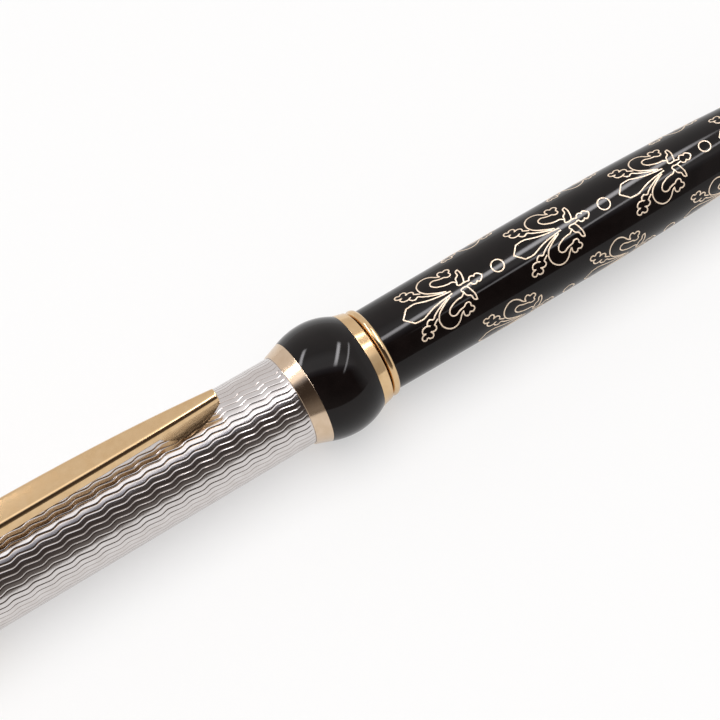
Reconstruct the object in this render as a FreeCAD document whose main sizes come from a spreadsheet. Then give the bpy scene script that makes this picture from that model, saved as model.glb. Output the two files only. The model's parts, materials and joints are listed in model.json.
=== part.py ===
import FreeCAD, Part
import math
import os
import re
import Sketcher
from FreeCAD import Placement, Rotation, Vector

# A capped rollerball pen that lies along X with its tail towards +X, its cap towards -X
# and its clip straight up. Every place along the pen is a distance from the lip plane,
# where the cap meets the barrel: minus towards the cap's end, plus towards the tail.
# The chain of sizes runs from the inside out: the refill sets the grip section, the
# section sets the barrel and the cap, and the cap sets its bands, its clip and its end.

SIZES = {
    # refill, a bought part
    "refill_length": 110.5,
    "refill_radius": 3.05,
    "refill_wall": 0.6,
    "refill_nose_radius": 2.3,
    "refill_nose_length": 9.3,
    "refill_nose_socket": 3.0,
    "tip_length": 10.2,
    "tip_shank": 3.0,
    "tip_radius": 1.2,
    "tip_taper": 2.8,
    "tip_rim": 0.55,
    "ball_radius": 0.35,
    "ball_proud": 0.25,
    "ball_play": 0.03,
    "ink_play": 0.05,
    "plug_flange": 1.0,
    "plug_depth": 3.5,
    # gaps between pieces
    "glue_gap": 0.02,
    "seat_gap": 0.05,
    "refill_clearance": 0.15,
    "thread_clearance": 0.05,
    "snap_clearance": 0.03,
    "lip_clearance": 0.13,
    "liner_clearance": 0.21,
    "barrel_clearance": 0.4,
    "pin_clearance": 0.03,
    "seal_gap": 0.1,
    "parting_gap": 0.25,
    # how far a cut's outline runs past the edge it cuts
    "cut_runout": 1.0,
    # grip section
    "section_reach": 44.0,
    "tip_reach": 3.5,
    "core_wall": 0.45,
    "core_tail": 0.5,
    "grip_wall": 0.88,
    "grip_waist_wall": 0.55,
    "grip_flare_wall": 0.75,
    "grip_waist_place": 9.0,
    "nose_ring_length": 3.0,
    "nose_spigot_length": 2.5,
    "nose_face_wall": 0.85,
    "nose_ring_edge": 0.6,
    "nose_ring_proud": 0.02,
    "nose_ring_relief": 0.05,
    "snap_collar_length": 4.4,
    "snap_ridge_height": 0.17,
    "snap_ridge_width": 0.8,
    "snap_ring_thickness": 0.35,
    "snap_ring_width": 0.6,
    "snap_ring_opening": 30.0,
    "o_ring_wire": 0.42,
    "o_ring_clearance": 0.04,
    "thread_pitch": 0.75,
    "thread_turns": 8,
    "thread_relief": 0.1,
    "thread_depth": 0.4,
    "thread_runout": 0.3,
    # barrel
    "o_ring_wall": 0.2,
    "bush_groove_depth": 0.2,
    "bush_tail": 2.0,
    "barrel_ring_width": 1.05,
    "barrel_ring_proud": 0.48,
    "mouth_wall": 0.6,
    "barrel_swell": 0.2,
    "swell_place": 30.0,
    "tail_wall": 0.25,
    "spring_length": 3.9,
    "spring_wire": 0.22,
    "spring_play": 0.4,
    "spring_turns": 4,
    "seat_disc": 0.6,
    "seat_boss_radius": 1.2,
    "seat_boss_length": 0.8,
    "insert_flange": 1.4,
    "insert_spigot": 3.0,
    "insert_step": 0.85,
    "stud_radius": 1.4,
    "stud_pitch": 0.5,
    "stud_lead": 0.2,
    "stud_thread_depth": 0.15,
    "stud_bite": 3.4,
    "stud_cover": 0.5,
    "stud_threads": 6,
    "tail_ring_width": 1.0,
    "tail_ring_proud": 0.35,
    "tail_cap_length": 6.0,
    "tail_cap_proud": 0.05,
    "tail_cap_straight": 3.6,
    "button_height": 1.0,
    "button_rim": 0.3,
    "button_radius": 1.5,
    "button_spigot_radius": 0.8,
    "button_spigot_length": 0.8,
    # cap
    "lip_band_width": 1.45,
    "lip_flange": 0.9,
    "lip_spigot": 2.55,
    "lip_front_wall": 0.13,
    "lip_rear_wall": 0.48,
    "liner_wall": 0.4,
    "tube_wall": 0.45,
    "bulb_length": 7.4,
    "bulb_wall": 1.54,
    "bulb_crest_place": 3.95,
    "cone_ring_width": 1.92,
    "cone_ring_front_wall": 0.88,
    "cone_ring_rear_wall": 0.18,
    "inner_cap_length": 8.95,
    "tip_room": 2.4,
    "tip_side_room": 0.7,
    "cap_insert_depth": 1.5,
    "cap_insert_wall": 2.78,
    "clip_collar_length": 4.2,
    "clip_collar_web": 0.75,
    "clip_collar_proud": 0.4,
    "finial_ring_width": 0.8,
    "finial_ring_proud": 0.25,
    "dome_length": 3.6,
    "dome_straight": 0.8,
    "cap_stud_bite": 4.0,
    "jewel_height": 0.8,
    "jewel_rim": 0.24,
    "jewel_radius": 2.0,
    # clip
    "clip_length": 39.6,
    "clip_thickness": 1.6,
    "clip_root_width": 4.0,
    "clip_end_width": 1.7,
    "clip_root_crown": 0.4,
    "clip_lift": 2.3,
    "clip_rise": 0.4,
    "clip_arch": 520.0,
    "skid_length": 7.9,
    "clip_pin_radius": 0.5,
    "clip_pin_height": 1.4,
    "clip_pin_setback": 2.1,
    "clip_lug_width": 2.4,
    "clip_lug_reach": 1.1,
    "clip_lug_drop": 0.9,
    "cheek_play": 0.08,
    "cheek_thickness": 0.9,
    "cheek_reach": 1.0,
    "cheek_rise": 0.8,
    "cheek_foot_reach": 2.0,
    "cheek_flare_arc": 2.2,
    "clip_spring_radius": 0.5,
    "clip_spring_wire": 0.15,
    "clip_spring_play": 0.15,
    "clip_spring_setback": 0.5,
    "clip_spring_floor": 0.35,
    "clip_spring_turns": 4,
}

FITS = {
    # radii, from the refill outwards
    "section_bore": "refill_radius + refill_clearance",
    "section_nose_bore": "refill_nose_radius + refill_clearance",
    "nose_hole": "tip_radius + refill_clearance",
    "core_radius": "section_bore + core_wall",
    "grip_bore": "core_radius + glue_gap",
    "grip_radius": "grip_bore + grip_wall",
    "grip_waist_radius": "grip_bore + grip_waist_wall",
    "grip_flare_radius": "grip_bore + grip_flare_wall",
    "nose_face_radius": "nose_hole + nose_face_wall",
    "thread_root": "core_radius + thread_relief",
    "thread_crest": "thread_root + thread_depth",
    "bush_bore": "thread_crest + thread_clearance",
    "o_ring_centre": "core_radius + glue_gap + o_ring_wire",
    "o_ring_pocket": "o_ring_centre + o_ring_wire + o_ring_clearance",
    "bush_radius": "o_ring_pocket + o_ring_wall",
    "mouth_bore": "bush_radius + glue_gap",
    "mouth_radius": "mouth_bore + mouth_wall",
    "swell_radius": "mouth_radius + barrel_swell",
    "barrel_bore": "refill_radius + barrel_clearance",
    "tail_radius": "barrel_bore + tail_wall",
    "insert_bore": "barrel_bore - insert_step",
    "tail_cap_radius": "tail_radius + tail_cap_proud",
    "ridge_radius": "grip_radius + snap_ridge_height",
    "lip_bore": "ridge_radius + lip_clearance",
    "liner_bore": "ridge_radius + liner_clearance",
    "snap_ring_bore": "ridge_radius + snap_clearance",
    "snap_ring_radius": "snap_ring_bore + snap_ring_thickness",
    "snap_pocket_radius": "snap_ring_radius + seat_gap",
    "liner_radius": "liner_bore + liner_wall",
    "tube_bore": "liner_radius + glue_gap",
    "tube_radius": "tube_bore + tube_wall",
    "bulb_bore": "tube_radius + glue_gap",
    "bulb_radius": "bulb_bore + bulb_wall",
    "clip_collar_radius": "tube_radius + clip_collar_proud",
    "stud_hole": "stud_radius + glue_gap",
    "cap_insert_radius": "stud_hole + cap_insert_wall",
    "button_hole": "button_spigot_radius + glue_gap",
    "axis_height": "bulb_radius",
    # places along the pen, from the lip plane towards the tail
    "section_back": "parting_gap - seat_gap",
    "o_ring_place": "section_back + seat_gap + o_ring_wire",
    "bush_front": "parting_gap + seat_gap",
    "bush_shoulder": "o_ring_place + o_ring_wire + seat_gap",
    "thread_start": "bush_shoulder + thread_runout",
    "thread_end": "thread_start + thread_turns * thread_pitch",
    "core_back": "thread_end + core_tail",
    "bush_back": "thread_end + bush_tail",
    "barrel_front": "parting_gap + barrel_ring_width",
    "ball_front": "-section_reach - tip_reach",
    "tip_back": "ball_front + tip_length",
    "refill_shoulder": "tip_back + refill_nose_length",
    "refill_back": "ball_front + refill_length",
    "spring_front": "refill_back + seat_gap",
    "seat_front": "spring_front + spring_length + seat_gap",
    "insert_front": "seat_front + seat_disc",
    "insert_step_place": "insert_front + insert_flange",
    "barrel_back": "insert_step_place + insert_spigot",
    "tail_cap_front": "barrel_back + tail_ring_width",
    "tail_cap_back": "tail_cap_front + tail_cap_length",
    "barrel_length": "tail_cap_back + button_height",
    # places along the pen, from the lip plane towards the end of the cap
    "liner_front": "-lip_flange - snap_ring_width - 2 * seat_gap",
    "tube_front": "-lip_band_width - lip_spigot - seat_gap",
    "bulb_front": "-lip_band_width",
    "bulb_back": "bulb_front - bulb_length",
    "inner_cap_front": "-section_reach - seal_gap",
    "inner_cap_back": "inner_cap_front - inner_cap_length",
    "cap_insert_front": "inner_cap_back - seat_gap",
    "tube_back": "cap_insert_front - cap_insert_depth",
    "clip_collar_back": "tube_back - clip_collar_length",
    "cap_insert_back": "clip_collar_back + clip_collar_web + seat_gap",
    "dome_front": "clip_collar_back - finial_ring_width",
    "dome_back": "dome_front - dome_length",
    "cap_length": "jewel_height - dome_back",
    "lip_plane": "(cap_length - barrel_length) / 2",
    # clip and its hinge
    "clip_end_top": "tube_radius + clip_lift + clip_thickness",
    "clip_root_top": "clip_end_top + clip_rise",
    "clip_pin_radial": "clip_collar_radius + clip_pin_height",
    "clip_pin_hole": "clip_pin_radius + pin_clearance",
    "pin_length": "clip_lug_width + 2 * cheek_play + 2 * cheek_thickness",
    "clip_end_under": "clip_end_top - clip_thickness",
    "skid_top": "clip_end_under + clip_rise * skid_length / clip_length"
                " + skid_length * (clip_length - skid_length) / (2 * clip_arch)",
    "skid_depth": "(clip_end_under + skid_top) / 2 - tube_radius - seat_gap",
    "skid_arc": "skid_length ^ 2 / (8 * skid_depth) + skid_depth / 2",
    "clip_spring_bottom": "cap_insert_radius + glue_gap + clip_spring_floor",
    "clip_spring_top": "clip_pin_radial - clip_lug_drop - seat_gap",
}

# where a thread rib's foot, crest, crest and foot lie, as shares of the thread's pitch
RIB_SHARES = (0.15, 0.4, 0.6, 0.85)

doc = FreeCAD.newDocument("RollerballPen")


def fill_sheet(name, rows):
    """One row per size: its name in column A, and its value or formula in column B."""
    sheet = doc.addObject("Spreadsheet::Sheet", name)
    for row, (alias, content) in enumerate(rows.items(), start=1):
        sheet.set(f"A{row}", alias)
        sheet.setAlias(f"B{row}", alias)
        sheet.set(f"B{row}", str(content))
    return sheet


def bound(formula):
    """The formula with each size named together with the sheet that holds it."""
    def with_sheet(match):
        word = match.group(0)
        sheet = "Sizes." if word in SIZES else "Fits." if word in FITS else ""
        return sheet + word

    return re.sub(r"[a-z][a-z0-9_]*", with_sheet, formula)


sizes = fill_sheet("Sizes", SIZES)
fits = fill_sheet("Fits", {name: "=" + bound(formula) for name, formula in FITS.items()})
doc.recompute()


def value(formula):
    """The number that a formula gives now, in millimetres."""
    result = sizes.evalExpression(bound(formula))
    return float(getattr(result, "Value", result))


def place(piece, along, up="axis_height", rotation=Rotation(), across="0"):
    """Put a piece's own origin at a place along the pen, on its axis unless told."""
    piece.Placement = Placement(Vector(), rotation)
    piece.setExpression("Placement.Base.x", bound(f"lip_plane + {along}"))
    piece.setExpression("Placement.Base.y", bound(across))
    piece.setExpression("Placement.Base.z", bound(up))


def new_body(label, along, up="axis_height", facing="tail"):
    """An empty body whose own +x runs towards the tail, or towards the cap's end."""
    body = doc.addObject("PartDesign::Body", label)
    body.Label = label
    place(body, along, up, Rotation(Vector(0, 0, 1), {"tail": 0, "cap": 180}[facing]))
    return body


def origin_plane(body, role):
    return next(feature for feature in body.Origin.OriginFeatures if feature.Role == role)


def new_sketch(body, name, plane, offset="0"):
    """A sketch on one of the body's own planes, moved along the plane's normal."""
    sketch = body.newObject("Sketcher::SketchObject", f"{body.Label}_{name}")
    sketch.AttachmentSupport = [(origin_plane(body, plane), "")]
    sketch.MapMode = "FlatFace"
    sketch.setExpression("AttachmentOffset.Base.z", bound(offset))
    return sketch


class Arc:
    """Joins two corners of an outline by an arc that bulges left or right of the way."""

    def __init__(self, radius, side):
        self.radius = radius
        self.side = {"left": 1, "right": -1}[side]

    def middle(self, start, end):
        chord = end - start
        radius = value(self.radius)
        rise = radius - math.sqrt(max(radius**2 - chord.Length**2 / 4, 0))
        normal = Vector(-chord.y, chord.x).normalize()
        return (start + end) / 2 + normal * rise * self.side


def fix_point(sketch, point, x, y):
    """Hold a point at (x, y): on the sketch's axis for a 0, otherwise at a bound distance."""
    if x == "0":
        sketch.addConstraint(Sketcher.Constraint("PointOnObject", *point, -2))
    else:
        index = sketch.addConstraint(Sketcher.Constraint("DistanceX", -1, 1, *point, value(x)))
        sketch.setExpression(f"Constraints[{index}]", bound(x))
    if y == "0":
        sketch.addConstraint(Sketcher.Constraint("PointOnObject", *point, -1))
    else:
        index = sketch.addConstraint(Sketcher.Constraint("DistanceY", -1, 1, *point, value(y)))
        sketch.setExpression(f"Constraints[{index}]", bound(y))


def draw_outline(sketch, outline):
    """A closed outline of corners, (x, y) as formulas, with an Arc between two of them."""
    corners = []
    arcs = {}
    for item in outline:
        if isinstance(item, Arc):
            arcs[len(corners) - 1] = item
        else:
            corners.append(item)
    points = [Vector(value(x), value(y)) for x, y in corners]
    ends = []
    for number, start in enumerate(points):
        end = points[(number + 1) % len(points)]
        if number in arcs:
            # a sketch keeps its arcs counter-clockwise, so a bulge to the left runs backwards
            forward = arcs[number].side < 0
            first, last = (start, end) if forward else (end, start)
            edge = sketch.addGeometry(Part.Arc(first, arcs[number].middle(start, end), last))
            radius = Sketcher.Constraint("Radius", edge, value(arcs[number].radius))
            index = sketch.addConstraint(radius)
            sketch.setExpression(f"Constraints[{index}]", bound(arcs[number].radius))
        else:
            edge = sketch.addGeometry(Part.LineSegment(start, end))
            forward = True
        ends.append(((edge, 1), (edge, 2)) if forward else ((edge, 2), (edge, 1)))
    for number, (x, y) in enumerate(corners):
        start = ends[number][0]
        sketch.addConstraint(Sketcher.Constraint("Coincident", *ends[number - 1][1], *start))
        fix_point(sketch, start, x, y)


def draw_circle(sketch, x, y, radius):
    edge = sketch.addGeometry(Part.Circle(Vector(value(x), value(y)), Vector(0, 0, 1), value(radius)))
    index = sketch.addConstraint(Sketcher.Constraint("Radius", edge, value(radius)))
    sketch.setExpression(f"Constraints[{index}]", bound(radius))
    fix_point(sketch, (edge, 3), x, y)


def turned(label, along, outline, facing="tail", angle="360"):
    """A piece turned about the pen's axis, from (x, radius) corners measured from its start."""
    body = new_body(label, along, facing=facing)
    sketch = new_sketch(body, "outline", "XY_Plane")
    draw_outline(sketch, outline)
    turn = body.newObject("PartDesign::Revolution", f"{label}_turn")
    turn.Profile = sketch
    turn.ReferenceAxis = (sketch, ["H_Axis"])
    turn.setExpression("Angle", bound(angle))
    return body


def tube(label, along, length, bore, radius, facing="tail"):
    return turned(label, along, [("0", bore), ("0", radius), (length, radius), (length, bore)], facing)


def extruded(feature, body, name, plane, width, outline, offset="0"):
    """A Pad or Pocket of an outline, or of a circle (x, y, radius), even about its plane."""
    sketch = new_sketch(body, name, plane, offset)
    if len(outline) == 3:
        draw_circle(sketch, *outline)
    else:
        draw_outline(sketch, outline)
    solid = body.newObject(f"PartDesign::{feature}", f"{body.Label}_{name}_{feature.lower()}")
    solid.Profile = sketch
    solid.SideType = "Symmetric"
    solid.setExpression("Length", bound(width))
    return solid


def ribs(start, turns, pitch, root, crest):
    """Corners of the ribs of a screw thread, drawn as rings, from its start onwards."""
    corners = []
    for number in range(turns):
        for share, radius in zip(RIB_SHARES, (root, crest, crest, root)):
            corners.append((f"{start} + {number + share} * {pitch}", radius))
    return corners


def shallow_arc(chord, rise, side):
    """The arc over a chord along the pen, at a height of its rise above the chord's middle."""
    return Arc(f"({chord}) ^ 2 / (8 * {rise}) + {rise} / 2", side)


def tangent_arc(run, rise, side):
    """The arc that runs level at one end and has gone off by its rise at the other."""
    return Arc(f"(({run}) ^ 2 + ({rise}) ^ 2) / (2 * ({rise}))", side)


def half_round(label, along, width, bore, rim, rise, facing="tail"):
    """A ring with a rounded outer face that rises from the rim radius."""
    outline = [("0", bore), ("0", rim), shallow_arc(width, rise, "left"), (width, rim), (width, bore)]
    return turned(label, along, outline, facing)


def finial(label, along, length, straight, radius, tip, facing):
    """A domed end piece with a blind hole for a stud and a small one for its button."""
    stud_end = f"{length} - button_spigot_length - stud_cover"
    dome_arc = Arc(f"(({length} - {straight}) ^ 2 + ({radius} - {tip}) ^ 2)"
                   f" / (2 * ({length} - {straight}))", "left")
    return turned(label, along, [
        ("0", "stud_hole"), ("0", radius), (straight, radius), dome_arc, (length, tip),
        (length, "button_hole"), (f"{length} - button_spigot_length", "button_hole"),
        (f"{length} - button_spigot_length", "0"), (stud_end, "0"), (stud_end, "stud_hole"),
    ], facing)


def button(label, along, height, rim, radius, facing):
    """A low domed button with a spigot, whose flat foot sits on the end of a finial."""
    spigot = "(button_spigot_length - seat_gap)"
    dome = f"({height} - {rim})"
    return turned(label, along, [
        ("0", "0"), ("0", "button_spigot_radius"), (spigot, "button_spigot_radius"),
        (spigot, radius), (f"{spigot} + {rim}", radius),
        Arc(f"({radius} ^ 2 + {dome} ^ 2) / (2 * {dome})", "left"), (f"{spigot} + {height}", "0"),
    ], facing)


def stud(label, along, length, facing):
    """A threaded stud, its thread drawn as rings at the end that goes into the metal insert."""
    root = "stud_radius - stud_thread_depth"
    thread = ribs("stud_lead", int(sizes.stud_threads), "stud_pitch", root, "stud_radius")
    shank = "stud_pitch * (stud_threads + 1)"
    return turned(label, along, [
        ("0", "0"), ("0", root), *thread, (shank, root), (shank, "stud_radius"),
        (length, "stud_radius"), (length, "0"),
    ], facing)


def spring(label, along, up, coil, wire, length, turns, axis):
    """A coil spring about the pen's axis, or upright, that starts at the body's origin."""
    body = new_body(label, along, up)
    lengthwise = axis == "H_Axis"
    sketch = new_sketch(body, "wire", "XY_Plane" if lengthwise else "XZ_Plane")
    centre = (wire, coil) if lengthwise else (coil, wire)
    draw_circle(sketch, *centre, wire)
    wound = body.newObject("PartDesign::AdditiveHelix", f"{label}_coil")
    wound.Profile = sketch
    wound.ReferenceAxis = (sketch, [axis])
    wound.Mode = "pitch-height-angle"
    wound.setExpression("Height", bound(f"{length} - 2 * {wire}"))
    wound.setExpression("Pitch", bound(f"({length} - 2 * {wire}) / {turns}"))
    return body


def make_refill():
    tube_back = "refill_back - plug_flange"
    tube_length = f"({tube_back} - refill_shoulder)"
    tube("refill_tube", "refill_shoulder", tube_length, "refill_radius - refill_wall", "refill_radius")
    socket = "refill_radius - refill_wall - glue_gap"
    nose_end = "refill_nose_length + refill_nose_socket"
    turned("refill_nose", "tip_back", [
        ("0", "tip_radius + glue_gap"), ("0", "refill_nose_radius"),
        ("refill_nose_length - glue_gap", "refill_nose_radius"),
        ("refill_nose_length - glue_gap", socket), (nose_end, socket), (nose_end, "tip_radius + glue_gap"),
    ])
    cone_length = "tip_length - ball_proud + tip_shank"
    cup_depth = "2 * ball_radius - ball_proud + ball_play"
    turned("tip_cone", "ball_front + ball_proud", [
        ("0", "ball_radius + ball_play"), ("0", "tip_rim"), ("tip_taper", "tip_radius"),
        (cone_length, "tip_radius"), (cone_length, "0"),
        (cup_depth, "0"), (cup_depth, "ball_radius + ball_play"),
    ])
    ball = doc.addObject("Part::Sphere", "tip_ball")
    ball.setExpression("Radius", bound("ball_radius"))
    place(ball, "ball_front + ball_radius")
    reservoir_length = f"{tube_length} - refill_nose_socket - plug_depth - 3 * seat_gap"
    turned("ink_reservoir", "refill_shoulder + refill_nose_socket + seat_gap", [
        ("0", "0"), ("0", f"{socket} - ink_play"),
        (reservoir_length, f"{socket} - ink_play"), (reservoir_length, "0"),
    ])
    plug_length = "plug_depth + plug_flange"
    turned("refill_plug", f"{tube_back} - plug_depth", [
        ("0", "0"), ("0", socket), ("plug_depth + glue_gap", socket),
        ("plug_depth + glue_gap", "refill_radius"), (plug_length, "refill_radius"), (plug_length, "0"),
    ])


def make_section():
    core_front = "(nose_ring_length - section_reach)"
    shoulder = f"refill_shoulder - seat_gap - {core_front}"
    length = f"core_back - {core_front}"
    thread = ribs(f"thread_start - {core_front}", int(sizes.thread_turns), "thread_pitch",
                  "thread_root", "thread_crest")
    turned("section_core", core_front, [
        ("0", "section_nose_bore"), ("0", "core_radius"),
        (f"thread_start - thread_runout / 2 - {core_front}", "core_radius"),
        (f"thread_start - {core_front}", "thread_root"), *thread, (length, "thread_root"),
        (length, "section_bore"), (shoulder, "section_bore"), (shoulder, "section_nose_bore"),
    ])
    turned("nose_ring", "-section_reach", [
        ("0", "nose_hole"), ("0", "nose_face_radius"),
        ("nose_ring_length - nose_ring_edge", "grip_flare_radius + nose_ring_proud"),
        ("nose_ring_length", "grip_flare_radius - nose_ring_relief"),
        ("nose_ring_length", "section_nose_bore - glue_gap"),
        ("nose_ring_length + nose_spigot_length", "section_nose_bore - glue_gap"),
        ("nose_ring_length + nose_spigot_length", "nose_hole"),
    ])
    collar_front = "section_back - snap_collar_length"
    grip_length = f"{collar_front} - {core_front} - glue_gap"
    half_front = "grip_waist_place ^ 2 / (2 * (grip_flare_wall - grip_waist_wall))"
    waist_to_back = f"({grip_length} - grip_waist_place)"
    half_back = f"{waist_to_back} ^ 2 / (2 * (grip_wall - grip_waist_wall))"
    turned("section_grip", f"{core_front} + glue_gap", [
        ("0", "grip_bore"), ("0", "grip_flare_radius"), Arc(half_front, "right"),
        ("grip_waist_place", "grip_waist_radius"), Arc(half_back, "right"),
        (grip_length, "grip_radius"), (grip_length, "grip_bore"),
    ])
    ridge_back = "snap_collar_length - section_back - lip_flange - snap_ring_width - 2 * seat_gap"
    ridge_arc = Arc("snap_ridge_width ^ 2 / (8 * snap_ridge_height) + snap_ridge_height / 2", "left")
    turned("snap_collar", collar_front, [
        ("0", "grip_bore"), ("0", "grip_radius"), (f"{ridge_back} - snap_ridge_width", "grip_radius"),
        ridge_arc, (ridge_back, "grip_radius"), ("snap_collar_length", "grip_radius"),
        ("snap_collar_length", "grip_bore"),
    ])
    o_ring = doc.addObject("Part::Torus", "section_o_ring")
    o_ring.setExpression("Radius1", bound("o_ring_centre"))
    o_ring.setExpression("Radius2", bound("o_ring_wire"))
    place(o_ring, "o_ring_place", rotation=Rotation(Vector(0, 1, 0), 90))


def make_barrel():
    thread = ribs("thread_start - bush_front", int(sizes.thread_turns), "thread_pitch",
                  "bush_bore", "bush_bore + bush_groove_depth")
    bush_length = "bush_back - bush_front"
    shoulder = "bush_shoulder - bush_front"
    turned("thread_bush", "bush_front", [
        ("0", "o_ring_pocket"), ("0", "bush_radius"), (bush_length, "bush_radius"),
        (bush_length, "bush_bore"), *reversed(thread), (shoulder, "bush_bore"), (shoulder, "o_ring_pocket"),
    ])
    half_round("barrel_ring", "parting_gap", "barrel_ring_width", "mouth_bore",
               "mouth_radius", "barrel_ring_proud")
    length = "barrel_back - barrel_front"
    swell = "swell_place - barrel_front"
    front_arc = f"(({swell}) ^ 2 + barrel_swell ^ 2) / (2 * barrel_swell)"
    fall = "(swell_radius - tail_radius)"
    back_arc = f"((barrel_back - swell_place) ^ 2 + {fall} ^ 2) / (2 * {fall})"
    bush_end = "bush_back - barrel_front + seat_gap"
    step = "insert_step_place - barrel_front"
    turned("barrel_tube", "barrel_front", [
        ("0", "mouth_bore"), ("0", "mouth_radius"), Arc(front_arc, "left"), (swell, "swell_radius"),
        Arc(back_arc, "left"), (length, "tail_radius"), (length, "insert_bore"), (step, "insert_bore"),
        (step, "barrel_bore"), (bush_end, "barrel_bore"), (bush_end, "mouth_bore"),
    ])
    turned("spring_seat", "seat_front - seat_boss_length", [
        ("0", "0"), ("0", "seat_boss_radius"), ("seat_boss_length", "seat_boss_radius"),
        ("seat_boss_length", "barrel_bore - glue_gap"),
        ("seat_boss_length + seat_disc", "barrel_bore - glue_gap"), ("seat_boss_length + seat_disc", "0"),
    ])
    insert_length = "insert_flange + insert_spigot"
    turned("tail_insert", "insert_front", [
        ("0", "stud_hole"), ("0", "barrel_bore - glue_gap"),
        ("insert_flange - glue_gap", "barrel_bore - glue_gap"),
        ("insert_flange - glue_gap", "insert_bore - glue_gap"),
        (insert_length, "insert_bore - glue_gap"), (insert_length, "stud_hole"),
    ])
    half_round("tail_ring", "barrel_back", "tail_ring_width", "stud_hole",
               "tail_radius", "tail_ring_proud")
    finial("tail_cap", "tail_cap_front", "tail_cap_length", "tail_cap_straight",
           "tail_cap_radius", "button_radius", "tail")
    stud_reach = "tail_ring_width + tail_cap_length - button_spigot_length - stud_cover"
    stud("tail_stud", "barrel_back - stud_bite", f"stud_bite + {stud_reach} - seat_gap", "tail")
    button("tail_button", "tail_cap_back - button_spigot_length + seat_gap", "button_height",
           "button_rim", "button_radius", "tail")
    spring("refill_spring", "spring_front", "axis_height", "seat_boss_radius + spring_play + spring_wire",
           "spring_wire", "spring_length", "spring_turns", "H_Axis")


def make_cap():
    """The cap's turned pieces, each measured backwards from the one in front of it."""
    snap_back = "lip_flange + snap_ring_width + 2 * seat_gap"
    lip_back = "lip_band_width + lip_spigot"
    turned("lip_band", "0", [
        ("0", "lip_bore"), ("0", "bulb_bore + lip_front_wall"),
        ("lip_band_width", "bulb_bore + lip_rear_wall"), ("lip_band_width", "tube_radius"),
        (lip_back, "tube_radius"), (lip_back, "tube_bore"), (snap_back, "tube_bore"),
        (snap_back, "snap_pocket_radius"), ("lip_flange", "snap_pocket_radius"), ("lip_flange", "lip_bore"),
    ], "cap")
    turned("snap_ring", "-lip_flange - seat_gap", [
        ("0", "snap_ring_bore"), ("0", "snap_ring_radius"),
        ("snap_ring_width", "snap_ring_radius"), ("snap_ring_width", "snap_ring_bore"),
    ], "cap", "360 - snap_ring_opening")
    front_rise = "bulb_wall - lip_rear_wall"
    back_rise = "bulb_wall - cone_ring_front_wall"
    turned("bulb_collar", "bulb_front", [
        ("0", "bulb_bore"), ("0", "bulb_bore + lip_rear_wall"),
        tangent_arc("bulb_crest_place", front_rise, "left"), ("bulb_crest_place", "bulb_radius"),
        tangent_arc("bulb_length - bulb_crest_place", back_rise, "left"),
        ("bulb_length", "bulb_bore + cone_ring_front_wall"), ("bulb_length", "bulb_bore"),
    ], "cap")
    turned("cone_ring", "bulb_back", [
        ("0", "bulb_bore"), ("0", "bulb_bore + cone_ring_front_wall"),
        ("cone_ring_width", "bulb_bore + cone_ring_rear_wall"), ("cone_ring_width", "bulb_bore"),
    ], "cap")
    tube("cap_tube", "tube_front", "tube_front - tube_back", "tube_bore", "tube_radius", "cap")
    tube("cap_liner", "liner_front", "liner_front - inner_cap_back", "liner_bore", "liner_radius", "cap")
    tip_bore = "tip_radius + tip_side_room"
    tip_depth = "tip_reach - seal_gap + tip_room"
    turned("inner_cap", "inner_cap_front", [
        ("0", tip_bore), ("0", "liner_bore - glue_gap"), ("inner_cap_length", "liner_bore - glue_gap"),
        ("inner_cap_length", "0"), (tip_depth, "0"), (tip_depth, tip_bore),
    ], "cap")
    insert_length = "cap_insert_front - cap_insert_back"
    turned("cap_insert", "cap_insert_front", [
        ("0", "stud_hole"), ("0", "tube_bore - glue_gap"), ("cap_insert_depth", "tube_bore - glue_gap"),
        ("cap_insert_depth", "cap_insert_radius"), (insert_length, "cap_insert_radius"),
        (insert_length, "stud_hole"),
    ], "cap")
    half_round("finial_ring", "clip_collar_back", "finial_ring_width", "stud_hole",
               "clip_collar_radius", "finial_ring_proud", "cap")
    finial("cap_dome", "dome_front", "dome_length", "dome_straight", "clip_collar_radius",
           "jewel_radius", "cap")
    button("cap_jewel", "dome_back + button_spigot_length - seat_gap", "jewel_height",
           "jewel_rim", "jewel_radius", "cap")
    stud_reach = "finial_ring_width + dome_length - button_spigot_length - stud_cover"
    bite_to_ring = "cap_stud_bite + cap_insert_back - clip_collar_back"
    stud("cap_stud", "cap_insert_back + cap_stud_bite", f"{bite_to_ring} + {stud_reach} - seat_gap", "cap")


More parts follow.
